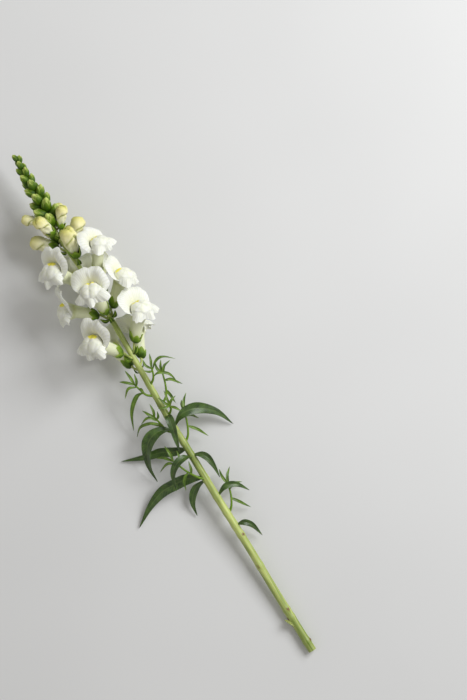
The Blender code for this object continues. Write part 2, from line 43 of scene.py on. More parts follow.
# Shapes are worked out in millimetres along the stem: +X from the cut end to the tip,
# +Y to the left, +Z up from the table. finishPiece turns them into the frame's metres.
mm = 0.001
frameOrigin = Vector((261.2, 16.9, 0))
upward = Vector((0, 0, 1))
leftward = Vector((0, 1, 0))
gridMerge = 0.003       # corners of a sheet closer than this become one
workCollection = bpy.data.collections.new("work")
scene.collection.children.link(workCollection)


# Node helpers

def addNode(tree, kind, inputs=None, **settings):
    # inputs go by name or number: another node's output is linked, a plain value is set
    made = tree.nodes.new(kind)
    for name, value in settings.items():
        setattr(made, name, value)
    for name, value in (inputs or {}).items():
        if isinstance(value, bpy.types.NodeSocket):
            tree.links.new(value, made.inputs[name])
        else:
            made.inputs[name].default_value = value
    return made


def rgb(red, green, blue):
    # a colour as read off a screen, 0 to 255, made linear
    return (*[(channel / 255) ** 2.2 for channel in (red, green, blue)], 1)


def stopsRamp(tree, factor, stops):
    ramp = addNode(tree, "ShaderNodeValToRGB", {"Fac": factor})
    elements = ramp.color_ramp.elements
    while len(elements) < len(stops):
        elements.new(0.5)
    for element, (place, colour) in zip(elements, stops):
        element.position = place
        element.color = colour
    return ramp.outputs["Color"]


def riseBetween(tree, factor, low, high, least=0):
    # a share that goes from least to 1 while the factor goes from low to high
    return stopsRamp(tree, factor, ((low, (least, least, least, 1)),
                                    (high, (1, 1, 1, 1))))


def blendColour(tree, factor, first, second):
    mixer = addNode(tree, "ShaderNodeMix", {0: factor, 6: first, 7: second}, data_type="RGBA")
    return mixer.outputs[2]


def calculate(tree, how, first, second=0):
    return addNode(tree, "ShaderNodeMath", {0: first, 1: second}, operation=how).outputs[0]


def times(tree, first, second):
    return calculate(tree, "MULTIPLY", first, second)


def plus(tree, first, second):
    return calculate(tree, "ADD", first, second)


def attributeFactor(tree, name):
    return addNode(tree, "ShaderNodeAttribute", attribute_name=name).outputs["Fac"]


def fineNoise(tree, perMetre, detail=3, stretch=(1, 1, 1)):
    # noise fixed to the object, perMetre cycles to the metre, drawn out by stretch
    place = addNode(tree, "ShaderNodeTexCoord").outputs["Object"]
    drawn = addNode(tree, "ShaderNodeMapping", {"Vector": place, "Scale": stretch})
    made = addNode(tree, "ShaderNodeTexNoise", {"Vector": drawn.outputs[0], "Scale": perMetre,
                                                "Detail": detail, "Roughness": 0.55})
    return made.outputs["Fac"]


def veinLines(tree, bands, wobble):
    # lines that run along a petal or leaf, from its own map
    place = addNode(tree, "ShaderNodeTexCoord").outputs["UV"]
    made = addNode(tree, "ShaderNodeTexWave", {"Vector": place, "Scale": bands,
                                               "Distortion": wobble, "Detail": 2,
                                               "Detail Scale": 1.5})
    return made.outputs["Fac"]


def makeMaterial(name, paint, bump, bumpDepth, constants):
    # paint lays its nodes in the tree, and gives the colour and the height they end in
    material = bpy.data.materials.new(name)
    material.use_nodes = True
    tree = material.node_tree
    shader = tree.nodes["Principled BSDF"]
    for socket, value in constants.items():
        shader.inputs[socket].default_value = value
    colour, height = paint(tree)
    made = addNode(tree, "ShaderNodeBump", {"Strength": bump, "Distance": bumpDepth,
                                            "Height": height})
    tree.links.new(colour, shader.inputs["Base Color"])
    tree.links.new(made.outputs["Normal"], shader.inputs["Normal"])
    return material


# Materials

petalLook = {
    "throat": rgb(204, 213, 150),   # greenish cream where the tube leaves the calyx
    # the tube's own cream green, made creamier as painted shade
    "tube": rgb(229, 232, 190),
    "creaseShade": rgb(206, 209, 146),   # painted shade in the crease where the lips leave the tube
    "white": rgb(240, 240, 222),
    "edge": rgb(248, 248, 242),
    "vein": rgb(204, 210, 174),
    "yellow": rgb(252, 240, 84),    # the spot on the palate
    "veinBands": 9,
    "veinShare": 0.3,
    "tubeVeins": 0.12,              # how much of the veins shows on the smooth tube
    "blotchShare": 0.2,
    "bump": 0.3,
}


def paintPetal(tree):
    look = petalLook
    along = attributeFactor(tree, "along")
    # along the petal: cream green at the foot, the tube's cream, painted shade in the crease
    # where the lips leave the tube, then white to the edge
    body = stopsRamp(tree, along, ((0, look["throat"]), (0.16, look["tube"]),
                                   (0.38, look["tube"]), (0.47, look["creaseShade"]),
                                   (0.6, look["white"]), (1, look["edge"])))
    lipShare = riseBetween(tree, along, 0.4, 0.62, look["tubeVeins"])
    veins = times(tree, veinLines(tree, look["veinBands"], 2.2), lipShare)
    veinShare = times(tree, calculate(tree, "POWER", veins, 3), look["veinShare"])
    body = blendColour(tree, veinShare, body, look["vein"])
    blotch = fineNoise(tree, 90)
    body = blendColour(tree, times(tree, blotch, look["blotchShare"]), body, look["throat"])
    # the blotches also make the rim of the yellow spot ragged
    ragged = times(tree, attributeFactor(tree, "spot"), plus(tree, blotch, 0.62))
    body = blendColour(tree, riseBetween(tree, ragged, 0.2, 0.5), body, look["yellow"])
    return body, plus(tree, times(tree, veins, 0.6), fineNoise(tree, 1400, 2))


budLook = {
    "foot": rgb(192, 204, 140),
    "side": rgb(237, 237, 210),
    "fold": rgb(238, 231, 180),
    "hood": rgb(222, 214, 122),
    "tip": rgb(152, 158, 46),   # also painted shadow in the hollow under the hood
    "veinBands": 7,
    "blotchShare": 0.22,
    "bump": 0.25,
}


def paintBud(tree):
    look = budLook
    body = stopsRamp(tree, attributeFactor(tree, "along"), (
        (0, look["foot"]), (0.3, look["side"]), (0.6, look["fold"]), (0.88, look["hood"]),
        (1, look["tip"])))
    # the spot mark lays the tip's colour on the foot, the back of the hood and the seam, and
    # painted shadow under the hood
    body = blendColour(tree, attributeFactor(tree, "spot"), body, look["tip"])
    blotch = times(tree, fineNoise(tree, 260), look["blotchShare"])
    body = blendColour(tree, blotch, body, look["foot"])
    veins = times(tree, veinLines(tree, look["veinBands"], 3), 0.7)
    return body, plus(tree, veins, fineNoise(tree, 1200, 2))


greens = {
    # the stem's own paler and darker streaks, pushed apart into a painted lit green and a painted
    # shade green
    "stemLit": rgb(194, 205, 120),
    "stemShadedStreak": rgb(90, 114, 26),
    "stemScar": rgb(112, 78, 44),
    "calyxDeep": rgb(50, 76, 12),
    "calyxMid": rgb(100, 132, 32),
    "calyxPale": rgb(156, 178, 70),
    "budDeep": rgb(50, 80, 6),
    "budMid": rgb(98, 126, 22),
    "budPale": rgb(192, 206, 112),
    "leafDeep": rgb(38, 60, 22),
    "leafPale": rgb(80, 108, 46),
    "leafRib": rgb(112, 134, 72),
    "tenderDeep": rgb(54, 86, 18),
    "tenderPale": rgb(118, 150, 44),
    "tenderRib": rgb(150, 176, 78),
    "pithGreen": rgb(186, 196, 140),
    "pithPale": rgb(222, 226, 190),
}


def paintStem(tree):
    # streaks along the stem, between its painted lit green and its painted shade green
    streaks = fineNoise(tree, 420, 3, (0.06, 1, 1))
    share = times(tree, plus(tree, streaks, fineNoise(tree, 22, 2)), 0.62)
    body = stopsRamp(tree, share, ((0.42, greens["stemShadedStreak"]), (0.76, greens["stemLit"])))
    rough = fineNoise(tree, 900, 4)
    scarred = times(tree, attributeFactor(tree, "spot"), plus(tree, rough, 0.55))
    body = blendColour(tree, riseBetween(tree, scarred, 0.25, 0.7), body, greens["stemScar"])
    ridges = fineNoise(tree, 900, 2, (0.04, 1, 1))
    return body, plus(tree, ridges, times(tree, rough, 0.4))


def paintCut(tree):
    # the moist pith of the cut
    grain = fineNoise(tree, 2200, 4)
    return stopsRamp(tree, grain, ((0.3, greens["pithGreen"]), (0.7, greens["pithPale"]))), grain


def greenMaterial(name, deep, mid, pale, roughness):
    # deep in the hollows and at the foot, pale at the tip and along the rims
    def paint(tree):
        share = plus(tree, times(tree, attributeFactor(tree, "along"), 0.3),
                     attributeFactor(tree, "spot"))
        share = plus(tree, share, times(tree, fineNoise(tree, 320), 0.4))
        body = stopsRamp(tree, share, ((0.2, greens[deep]), (0.5, greens[mid]),
                                       (1, greens[pale])))
        veins = times(tree, veinLines(tree, 3, 1), 0.4)
        return body, plus(tree, fineNoise(tree, 1500, 3), veins)

    return makeMaterial(name, paint, 0.3, 0.0004, {
        "Roughness": roughness, "Specular IOR Level": 0.28, "Subsurface Weight": 0.05,
        "Subsurface Scale": 0.002})


def leafMaterial(name, deep, pale, rib):
    def paint(tree):
        body = stopsRamp(tree, fineNoise(tree, 160), ((0.3, greens[deep]),
                                                        (0.75, greens[pale])))
        slant = calculate(tree, "SINE", times(tree, attributeFactor(tree, "along"), 75))
        sideVeins = calculate(tree, "POWER", calculate(tree, "ABSOLUTE", slant), 7)
        midrib = attributeFactor(tree, "spot")
        ribs = calculate(tree, "MAXIMUM", midrib, times(tree, sideVeins, 0.35))
        body = blendColour(tree, times(tree, ribs, 0.45), body, greens[rib])
        grain = plus(tree, times(tree, veinLines(tree, 3, 4), 0.12),
                     times(tree, fineNoise(tree, 900), 0.7))
        return body, plus(tree, times(tree, ribs, -1), grain)

    return makeMaterial(name, paint, 0.3, 0.0005, {
        "Roughness": 0.38, "Specular IOR Level": 0.5, "Coat Weight": 0.1,
        "Coat Roughness": 0.3, "Subsurface Weight": 0.04, "Subsurface Scale": 0.002})


looks = {
    "petal": makeMaterial("whitePetal", paintPetal, petalLook["bump"], 0.0005, {
        "Roughness": 0.56, "Subsurface Weight": 0.22, "Subsurface Scale": 0.004,
        "Subsurface Radius": (1, 0.95, 0.6), "Sheen Weight": 0.18, "Sheen Roughness": 0.5,
        "Specular IOR Level": 0.32}),
    "bud": makeMaterial("creamBud", paintBud, budLook["bump"], 0.0004, {
        "Roughness": 0.5, "Subsurface Weight": 0.2, "Subsurface Scale": 0.003,
        "Subsurface Radius": (1, 0.95, 0.5), "Specular IOR Level": 0.35}),
    "stem": makeMaterial("freshStem", paintStem, 0.3, 0.0005, {
        "Roughness": 0.42, "Specular IOR Level": 0.46, "Subsurface Weight": 0.04,
        "Subsurface Scale": 0.002, "Coat Weight": 0.08, "Coat Roughness": 0.35}),
    "cut": makeMaterial("cutPith", paintCut, 0.4, 0.0004, {"Roughness": 0.35}),
    "calyx": greenMaterial("greenCalyx", "calyxDeep", "calyxMid", "calyxPale", 0.5),
    "greenBud": greenMaterial("greenBud", "budDeep", "budMid", "budPale", 0.5),
    "shoot": greenMaterial("shootStalk", "calyxMid", "calyxPale", "calyxPale", 0.45),
    "leaf": leafMaterial("glossyLeaf", "leafDeep", "leafPale", "leafRib"),
    "tenderLeaf": leafMaterial("tenderLeaf", "tenderDeep", "tenderPale", "tenderRib"),
}
print("materials made")


# The stem's line, which everything is placed on

stemValues = {
    # distance from the cut end, sideways, height, radius
    "line": (
        (0, 0, 3.7, 3.75), (25, 0.5, 4.6, 3.65), (62, 1.2, 6.8, 3.6), (110, 1.2, 10, 3.55),
        (165, 2.4, 14.4, 3.4), (215, 2.6, 18.2, 3.2), (245, 3.2, 20.6, 3.05),
        (300, 2.2, 26, 2.75), (350, 1.2, 29.8, 2.4), (400, 1.4, 31.2, 2.1),
        (432, 3.6, 31.2, 1.8), (475, 1.2, 30.2, 1.4), (498, 1.4, 29.2, 1.1),
        (519, -0.4, 28.2, 0.7),
    ),
    "rings": 240,
    "sides": 20,
    "ribs": 5,              # low ribs round the stem
    "ribHeight": 0.018,     # as a share of the radius
    "nodeSwell": 0.11,      # how much thicker the stem is at a node
    "nodeLength": 2.4,
    # where side shoots and leaves leave the stem, and where stripped ones were
    "nodes": (10, 36, 44, 91, 124, 134, 147, 165.5, 184, 208, 222, 236, 250, 262, 273, 282.5),
    # scar: distance from the cut end, angle round the stem
    "scars": ((10, -70), (36, 62), (44, -20), (91, 25), (124, -35), (150, 150)),
    "scarSize": (1.7, 1.6),     # along the stem and round it
    "scarHeight": 0.55,
}


def smoothPath(points, steps):
    # steps + 1 points on one smooth curve through the given points
    knots = [Vector(point) for point in points]
    knots = [2 * knots[0] - knots[1]] + knots + [2 * knots[-1] - knots[-2]]
    spans = len(points) - 1
    made = []
    for step in range(steps + 1):
        place = step / steps * spans
        span = min(int(place), spans - 1)
        t = place - span
        a, b, c, d = knots[span:span + 4]
        made.append(0.5 * (2 * b + (c - a) * t + (2 * a - 5 * b + 4 * c - d) * t * t
                           + (3 * b - a - 3 * c + d) * t * t * t))
    return made


stemFine = smoothPath([row[:3] for row in stemValues["line"]], 260)


def stemAt(s):
    # point on the centre line, direction, and up and left across it
    k = 1
    while k < len(stemFine) - 2 and stemFine[k].x < s:
        k += 1
    before, after = stemFine[k - 1], stemFine[k]
    point = before.lerp(after, (s - before.x) / (after.x - before.x))
    along = (stemFine[k + 1] - stemFine[max(k - 2, 0)]).normalized()
    left = (leftward - along * leftward.dot(along)).normalized()
    return point, along, along.cross(left), left


def stemRadius(s):
    rows = stemValues["line"]
    for low, high in zip(rows, rows[1:]):
        if s <= high[0]:
            return low[3] + (high[3] - low[3]) * (s - low[0]) / (high[0] - low[0])
    return rows[-1][3]


def outward(s, angle):
    # 0 is up, + to the left
    _, _, up, left = stemAt(s)
    return up * cos(radians(angle)) + left * sin(radians(angle))


def eased(share):
    # 0 to 1, with a soft start and end
    share = min(1, max(0, share))
    return share * share * (3 - 2 * share)


def betweenRows(rows, place):
    # the rest of a table's row at a place, where each row starts with its place
    if place <= rows[0][0]:
        return rows[0][1:]
    for low, high in zip(rows, rows[1:]):
        if place <= high[0]:
            share = (place - low[0]) / (high[0] - low[0])
            share = 0.5 * (eased(share) + share)
            return tuple(a + (b - a) * share for a, b in zip(low[1:], high[1:]))
    return rows[-1][1:]


# Mesh helpers

def evaluatedMesh(thing):
    graph = bpy.context.evaluated_depsgraph_get()
    return bpy.data.meshes.new_from_object(thing.evaluated_get(graph))


def throwAway(thing):
    data = thing.data
    bpy.data.objects.remove(thing)
    if isinstance(data, bpy.types.Curve):
        bpy.data.curves.remove(data)
    else:
        bpy.data.meshes.remove(data)


def addMarks(bm):
    # what the materials read: how far along its piece a point is, and where spots, rims and, on
    # the half-open buds, painted shadow are
    for name in ("along", "spot"):
        bm.verts.layers.float.new(name)


def startShape():
    bm = bmesh.new()
    bm.loops.layers.uv.verify()
    addMarks(bm)
    return bm


def placeVerts(bm, verts, place):
    # place makes each plain vertex's point, along and spot from where it was
    along, spot = [bm.verts.layers.float[name] for name in ("along", "spot")]
    for vert in verts:
        vert.co, vert[along], vert[spot] = place(vert.co)


def addGrid(bm, columns, rows, place):
    # sheet: place is asked for across -1 to 1 and along 0 to 1
    made = bmesh.ops.create_grid(bm, x_segments=columns, y_segments=rows, size=0.5,
                                 calc_uvs=True)
    placeVerts(bm, made["verts"], lambda spot: place(2 * spot.x, spot.y + 0.5))


def orientOut(bm):
    if bm.calc_volume(signed=True) < 0:
        bmesh.ops.reverse_faces(bm, faces=bm.faces)


def asMesh(bm):
    mesh = bpy.data.meshes.new("shape")
    bm.to_mesh(mesh)
    bm.free()
    return mesh


def walled(bm, wall):
    # gives an open sheet its thickness and rims
    bmesh.ops.remove_doubles(bm, verts=bm.verts, dist=gridMerge)
    bmesh.ops.recalc_face_normals(bm, faces=bm.faces)
    sheet = bpy.data.objects.new("sheet", asMesh(bm))
    workCollection.objects.link(sheet)
    thick = sheet.modifiers.new("wall", "SOLIDIFY")
    thick.thickness = wall
    thick.offset = 0
    mesh = evaluatedMesh(sheet)
    throwAway(sheet)
    solid = bmesh.new()
    solid.from_mesh(mesh)
    bpy.data.meshes.remove(mesh)
    orientOut(solid)
    return asMesh(solid)


def bladeMesh(path, width, wall, columns, rows, roll=0, fold=0.3, foot=0.24, side=None,
              wave=0, seed=1):
    # leaf: narrow foot, broad middle, pointed tip, folded along its midrib
    line = smoothPath(path, rows)
    chord = (line[-1] - line[0]).normalized()
    if side is None:
        side = chord.cross(upward).normalized()
    side = Matrix.Rotation(radians(roll), 3, chord) @ side
    chance = Random(seed)
    phase = chance.uniform(0, 6)

    def place(across, along):
        step = round(along * rows)
        ahead = line[min(step + 1, rows)] - line[max(step - 1, 0)]
        normal = side.cross(ahead).normalized()
        swell = sin(pi * min(1, 0.06 + 0.94 * along ** 0.8)) ** 0.85
        taper = max(swell, foot * (1 - 2.5 * along))
        half = 0.5 * width * taper if step < rows else 0
        lift = fold * abs(across) ** 1.3 * half
        lift += wave * half * abs(across) ** 2 * sin(phase + 13 * along + 1.6 * across)
        point = line[step] + side * (across * half) + normal * lift
        point.z = max(point.z, 0.25 + 0.5 * wall)
        rib = exp(-(across / 0.1) ** 2) if half > 0 else 0.6
        # the side veins of a leaf follow this, slanting forward from the midrib
        return point, along - 0.09 * abs(across) ** 0.8, rib

    bm = startShape()
    addGrid(bm, columns, rows, place)
    return walled(bm, wall)


def rodMesh(points, radii, resolution):
    # round tapering stalk along a path, with closed ends
    curve = bpy.data.curves.new("rod", "CURVE")
    curve.dimensions = "3D"
    curve.bevel_depth = 1
    curve.bevel_resolution = resolution
    curve.use_fill_caps = True
    spline = curve.splines.new("POLY")
    spline.points.add(len(points) - 1)
    for knot, point, radius in zip(spline.points, points, radii):
        knot.co = (*point, 1)
        knot.radius = radius
    stalk = bpy.data.objects.new("rod", curve)
    workCollection.objects.link(stalk)
    mesh = evaluatedMesh(stalk)
    throwAway(stalk)
    bm = bmesh.new()
    bm.from_mesh(mesh)
    bpy.data.meshes.remove(mesh)
    bmesh.ops.remove_doubles(bm, verts=bm.verts, dist=0.001)
    addMarks(bm)
    bmesh.ops.recalc_face_normals(bm, faces=bm.faces)
    return asMesh(bm)


def roundMesh(columns, rows, place, mapScale=1):
    # closed round body: place is asked for a turn in radians and a rise of 0 to 1
    bm = startShape()
    bmesh.ops.create_uvsphere(bm, u_segments=columns, v_segments=rows, radius=1,
                              calc_uvs=True)
    placeVerts(bm, bm.verts, lambda spot: place(
        atan2(spot.y, spot.x), acos(max(-1, min(1, -spot.z))) / pi))
    mapLayer = bm.loops.layers.uv.verify()
    for face in bm.faces:
        for loop in face.loops:
            loop[mapLayer].uv.x *= mapScale
    orientOut(bm)
    return asMesh(bm)


def finishPiece(name, meshes, look, nodes, sharpness=50):
    # one named piece of the part, in metres, standing for its CAD nodes
    bm = bmesh.new()
    for mesh in meshes:
        bm.from_mesh(mesh)
        bpy.data.meshes.remove(mesh)
    place = Matrix.Scale(mm, 4) @ Matrix.Translation(-frameOrigin)
    bmesh.ops.transform(bm, verts=bm.verts, matrix=place)
    piece = bpy.data.objects.new(name, asMesh(bm))
    piece.data.materials.append(looks[look])
    piece.data.shade_smooth()
    piece.data.set_sharp_from_angle(angle=radians(sharpness))
    scene.collection.objects.link(piece)
    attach(piece, "root")
    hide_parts(*nodes)
    return piece


# Main stem

def makeStem():
    rows = stemValues["line"]
    rings, sides = stemValues["rings"], stemValues["sides"]
    scarLong, scarWide = stemValues["scarSize"]
    line = smoothPath([row[:3] for row in rows], rings)

    def place(across, along):
        step = round(along * rings)
        point = line[step]
        ahead = (line[min(step + 1, rings)] - line[max(step - 1, 0)]).normalized()
        left = (leftward - ahead * leftward.dot(ahead)).normalized()
        up = ahead.cross(left)
        radius = stemRadius(point.x)
        near = sum(exp(-((point.x - s) / stemValues["nodeLength"]) ** 2)
                   for s in stemValues["nodes"])
        radius *= 1 + stemValues["nodeSwell"] * min(near, 1)
        turn = pi * across
        radius *= 1 + stemValues["ribHeight"] * cos(stemValues["ribs"] * turn)
        away = up * cos(turn) + left * sin(turn)
        skin = point + away * radius
        skin.z = max(skin.z, 0.02)
        scar = 0
        for s, angle in stemValues["scars"]:
            apart = (radians(angle) - turn + pi) % (2 * pi) - pi
            scar = max(scar, exp(-((point.x - s) / scarLong) ** 2
                                 - (apart * radius / scarWide) ** 2))
        return skin + away * (stemValues["scarHeight"] * scar), along, scar

    bm = startShape()
    addGrid(bm, sides, rings, place)
    bmesh.ops.remove_doubles(bm, verts=bm.verts, dist=gridMerge)
    rims = [edge for edge in bm.edges if len(edge.link_faces) == 1]
    bmesh.ops.edgeloop_fill(bm, edges=rims)
    bmesh.ops.recalc_face_normals(bm, faces=bm.faces)
    return finishPiece("mainStem", [asMesh(bm)], "stem", ["stem"])


def makeCut():
    # the moist face of the cut, a little proud of the stem's end
    point, along, up, left = stemAt(0)
    radius = 0.9 * stemRadius(0)
    matrix = Matrix.Translation(point) @ Matrix((left, up, -along)).transposed().to_4x4()

    def place(turn, rise):
        # a flat round cushion, sunk so that only its front stands out
        wide = radius * sin(pi * rise) ** 0.6
        deep = 0.28 * cos(pi * rise)
        return matrix @ Vector((wide * cos(turn), wide * sin(turn), -deep - 0.12)), rise, 0

    return finishPiece("cutFace", [roundMesh(20, 10, place)], "cut", ["stem"])


def makeTornSkin():
    # strip of skin left where a leaf was pulled off
    path = ((28, 2.4, 7.3), (31.5, 4.2, 7.6), (35, 6, 8.4), (37.5, 7.4, 9.6))
    strip = bladeMesh(path, 2.2, 0.5, 6, 14, roll=20, fold=0.5, foot=0.7, wave=0.3, seed=5)
    finishPiece("tornSkin", [strip], "stem", ["stem"])


makeStem()
makeCut()
makeTornSkin()
print("stem made")


# Frames of the flowers

# place along the stem, angle round it, pitch from it, run and rise of the flower stalk,
# twist about the tube, size
floretRows = (
    (310.6, 44.5, 48.5, 11.2, 9, -25, 1.07),
    (314, -62, 42, 11.3, 8.4, -14, 1.06),
    (296.9, 139.8, 23.2, 9.8, 6.6, -15.6, 0.95),
    (300.5, -131.8, 27.4, 8.5, 6.2, -0.6, 0.95),
    (349, 2.8, 41, 11.4, 6.8, -22, 1.04),
    (351.5, 82, 51, 9.4, 7.6, -18, 0.96),
    (352.1, -76.8, 49.5, 9.2, 5.8, 2.1, 0.98),
    (374.9, 147.8, 27.5, 8.5, 8.3, -1.8, 0.90),
    (383.7, -63.9, 36.3, 9, 10.2, -8.1, 0.95),
    (367.8, -149.3, 30.2, 7.2, 8.8, 25.2, 0.88),
    (384.1, 44.4, 42, 9.1, 9.8, -28.4, 1.02),
)
openingRows = (
    (408, -26, 30, 8, 7, 12, 1.05),
    (423, 104, 40, 8, 5, 6, 0.95),
    (415, -84, 41, 8.7, 8, -1.8, 0.95),
    (414, -143, 31, 8, 6, 12, 0.90),
    (437, 27.5, 41, 6.2, 5.4, -8.2, 0.86),
    (430, 160, 30, 6, 4.5, 0, 0.85),
    (438, -55, 40, 7, 5.5, 0, 0.76),
    (449.7, 94.3, 54, 6.9, 6.3, 17.1, 0.70),
    (445.8, -131.2, 38.8, 6.2, 5.2, 0.4, 0.66),
)


def leaning(along, away, pitch):
    # turns Z to lean out from the stem by the pitch, and Y towards the stem's tip
    ahead = along * cos(pitch) + away * sin(pitch)
    back = along * sin(pitch) - away * cos(pitch)
    return Matrix((back.cross(ahead), back, ahead)).transposed()


def flowerFrame(row):
    # X across the flower, Y towards the stem's tip, Z along the tube
    s, angle, pitch, run, rise, twist, size = row
    point, along, _, _ = stemAt(s)
    away = outward(s, angle)
    base = point + along * run + away * (stemRadius(s) + rise)
    turnTo = leaning(along, away, radians(pitch)) @ Matrix.Rotation(radians(twist), 3, "Z")
    return Matrix.Translation(base) @ turnTo.to_4x4() @ Matrix.Scale(size, 4)


# Florets

floretValues = {
    # tube: forward place, half-width, half-height, centre height
    "tube": ((0.7, 3, 2.9, -0.4), (2.8, 4.5, 4.5, -0.3), (8, 5.1, 4.9, 0),
             (17, 6, 5.5, -0.1), (22, 7.4, 6.8, -0.7)),
    # the palate that shuts the mouth, in the same numbers
    "palate": ((16, 0, 0, -1.2), (18.5, 5, 4.2, -1.3), (20.5, 6.6, 5.6, -1.4),
               (22, 7.7, 6.4, -1.6), (25.5, 9.2, 7.7, -2.1), (29.5, 9.9, 8.4, -2.4),
               (32.5, 9.2, 7.7, -2.4), (35, 6.4, 5.4, -2), (36.4, 0, 0, -1.6)),
    "wall": 0.42,
    "corner": 106,          # degrees from the top to the corner of the mouth
    "upperReach": 10,       # from the tube's axis to the upper lip's edge at the corner
    "upperLobe": 8,         # how much further the two lobes reach
    "upperNotch": 2,
    "hoodRise": (5, 12.8),  # how far the upper lip stands forward at the corner, more on top
    "upperFrill": 0.5,      # height of the small waves at each lip's edge
    "lowerFrill": 1.1,
    "fold": 1.1,            # height of the broad waves
    "skirtCorner": 101,     # degrees from the bottom to the end of the lower lip
    "skirtStart": 32.2,     # forward place where it leaves the palate
    "skirtReach": 10.2,
    "sideLobe": 7.6,
    "middleLobe": 4.9,
    "spotPlace": (6.6, 32.4),   # height and forward place of the yellow
    "spotSize": (3.6, 2.4, 2.9),
    "faceTurn": 16,         # degrees the mouth of an upper floret looks up from its tube
    "facePivot": 20,        # forward place where it bends
    "tubeRows": 24,
    "lipRows": 30,
    "upperColumns": 72,
    "lowerColumns": 40,
    "skirtColumns": 64,
    "skirtRows": 22,
}


def floretMeshes(matrix, seed):
    values = floretValues
    chance = Random(seed)
    phases = [chance.uniform(0, 2 * pi) for _ in range(8)]
    lean = chance.uniform(-0.06, 0.06)
    curl = chance.uniform(1.2, 3.4)
    sideCurls = [chance.uniform(-3.2, 3.4) for _ in range(2)]
    lobes = [chance.uniform(0.78, 1.2) for _ in range(3)]
    swing = chance.uniform(-5, 5)
    lift = chance.uniform(-0.6, 0.8)
    corner, wall = values["corner"], values["wall"]
    tubeRows, lipRows = values["tubeRows"], values["lipRows"]
    foot = values["tube"][0][0]
    mouth, mouthWide, mouthHigh, mouthDrop = values["tube"][-1]
    lipsFrom = 0.45         # the along value where the lips leave the tube
    ahead = (matrix.to_3x3() @ upward).normalized()
    hinge = (matrix.to_3x3().inverted() @ ahead.cross(upward)).normalized()
    # least on flowers that face up already or down
    faceTurn = values["faceTurn"] * min(1, max(0, 6 * ahead.z), 2.2 * (1 - ahead.z))
    pivot = upward * values["facePivot"]

    def settled(point):
        # bends the mouth up, and keeps the petal on the table
        bend = Matrix.Rotation(radians(faceTurn * eased((point.z - 14) / 12)), 3, hinge)
        point = matrix @ (pivot + bend @ (point - pivot))
        point.z = max(point.z, 0.2 + 0.5 * wall)
        return point

    def tubePoint(degrees, along):
        # degrees from the top of the tube, which is a little pinched at its shoulders
        z = foot + (mouth - foot) * along
        wide, high, centre = betweenRows(values["tube"], z)
        turn = radians(degrees)
        pinch = 1 - 0.05 * exp(-((abs(degrees) - 62) / 15) ** 2) * sin(pi * along)
        return Vector((wide * pinch * sin(turn), centre + high * pinch * cos(turn), z))

    def wavesOf(degrees, t, phase, frill, many, fold=values["fold"]):
        # small waves at the edge and broad ones that reach further in
        small = sin(radians(many * degrees) + phase
                    + 1.2 * sin(radians(0.4 * many * degrees) + 2 * phase))
        broad = sin(radians(5.3 * degrees) + 2 * phase)
        uneven = 0.55 + 0.45 * sin(radians(3.1 * degrees) + 3 * phase)
        return frill * uneven * t ** 4 * small + fold * t ** 2 * broad

    def upper(across, along):
        # roof of the tube, then the upper lip that stands up from it in two lobes
        degrees = corner * across
        row = along * (tubeRows + lipRows)
        if row <= tubeRows + 0.01:
            return settled(tubePoint(degrees, row / tubeRows)), lipsFrom * row / tubeRows, 0
        t = (row - tubeRows) / lipRows
        size = abs(degrees)
        broad = 0.5 + 0.5 * cos(pi * max(0, size - 56) / (corner - 56))
        forward = 0.5 + 0.5 * cos(pi * max(0, size - 30) / (corner - 30))
        reach = values["upperReach"] + values["upperLobe"] * broad
        reach -= values["upperNotch"] * exp(-(degrees / 7) ** 2)
        reach *= 1 + lean * sin(radians(degrees))
        reach += 0.45 * sin(radians(9 * degrees) + phases[3])
        grow = t ** 1.5 + 0.12 * t ** 8
        turn = radians(degrees)
        waves = wavesOf(degrees, t, phases[0], values["upperFrill"], 13)
        bend = 0.4 * wavesOf(degrees, t, phases[1], values["upperFrill"], 13)
        out = mouthWide + (reach - mouthWide) * grow + bend
        high = mouthHigh + (reach - mouthHigh) * grow + bend
        atCorner, onTop = values["hoodRise"]
        z = mouth + (atCorner + onTop * forward + lift) * sin(1.45 * t)
        z += 0.7 * waves - curl * t ** 5
        z -= sideCurls[degrees > 0] * t ** 4 * max(0, (size - 25) / 60)
        point = Vector((out * sin(turn), mouthDrop * (1 - t) + high * cos(turn), z))
        return settled(point), lipsFrom + (1 - lipsFrom) * t, 0

    def lower(across, along):
        degrees = 180 - (180 - corner) * across
        return settled(tubePoint(degrees, along)), lipsFrom * along, 0

    def palate(turn, rise):
        # two humps with a groove between them, and low pleats down the front
        low, high = values["palate"][0][0], values["palate"][-1][0]
        z = low + (high - low) * rise
        wide, high, centre = betweenRows(values["palate"], z)
        x, y = wide * cos(turn), high * sin(turn)
        front = min(1, max(0, (z - mouth) / 6))
        pleat = cos(1.75 * x + 0.5 * sin(phases[6] + 0.5 * x))
        shrink = 1 - front * (0.02 * pleat + 0.02 * cos(0.9 * x + phases[7]))
        x *= shrink
        y *= shrink
        if y > 0:
            y += 1.7 * exp(-(x / 5.5) ** 2 - ((z - 29) / 4.5) ** 2) * min(1, y / 3)
        y -= 1.1 * front * exp(-(x / 1.3) ** 2) * (y > 0)
        dip = front * exp(-(x / 1.4) ** 2) * max(0, rise - 0.7) / 0.3
        spotHigh, spotAhead = values["spotPlace"]
        fromSpot = (x, y - spotHigh, z - spotAhead)
        spot = exp(-sum((far / size) ** 2 for far, size in zip(fromSpot, values["spotSize"])))
        # towards its back, where it meets the upper lip, the palate takes the crease's painted
        # shade
        pale = 0.5 + 0.3 * min(1, max(0, (z - 23) / 5))
        return settled(Vector((x, centre + y, z - dip))), pale, 1.6 * spot

    def skirt(across, along):
